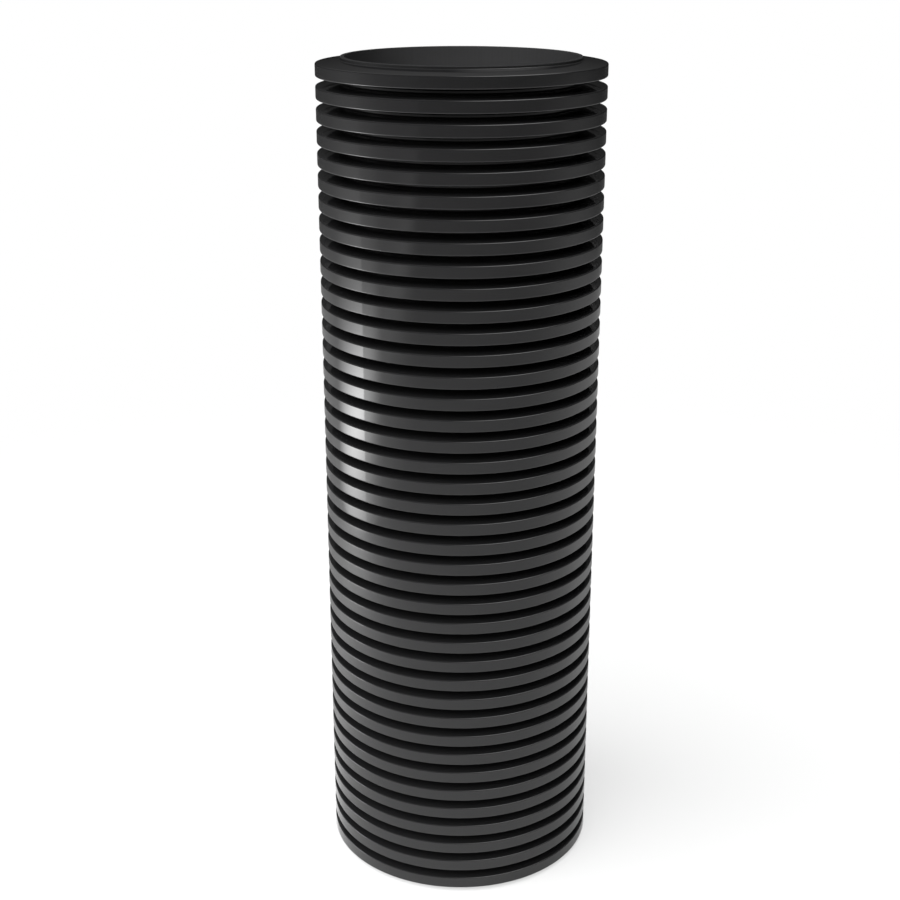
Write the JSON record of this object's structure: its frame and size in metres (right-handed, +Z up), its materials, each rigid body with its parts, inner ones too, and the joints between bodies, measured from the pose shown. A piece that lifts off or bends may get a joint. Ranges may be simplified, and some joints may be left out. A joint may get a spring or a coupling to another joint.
{
  "type": "inspection chamber shaft",
  "caption": "Corrugated twin-wall riser pipe that stands upright as the shaft of a drainage inspection chamber, with a smooth bore.",
  "frame": {"origin": "centre of the pipe's sawn lower end, on the surface that it stands on", "axes": "+Z up along the pipe's axis; the pipe is round, so X and Y are free"},
  "size_m": [0.4, 0.4, 1.202],
  "materials": {
    "black_plastic": "smooth satin black polypropylene, as it leaves the corrugator's moulds"
  },
  "bodies": {
    "root": {"corrugated_shaft": "black_plastic"}
  },
  "joints": []
}
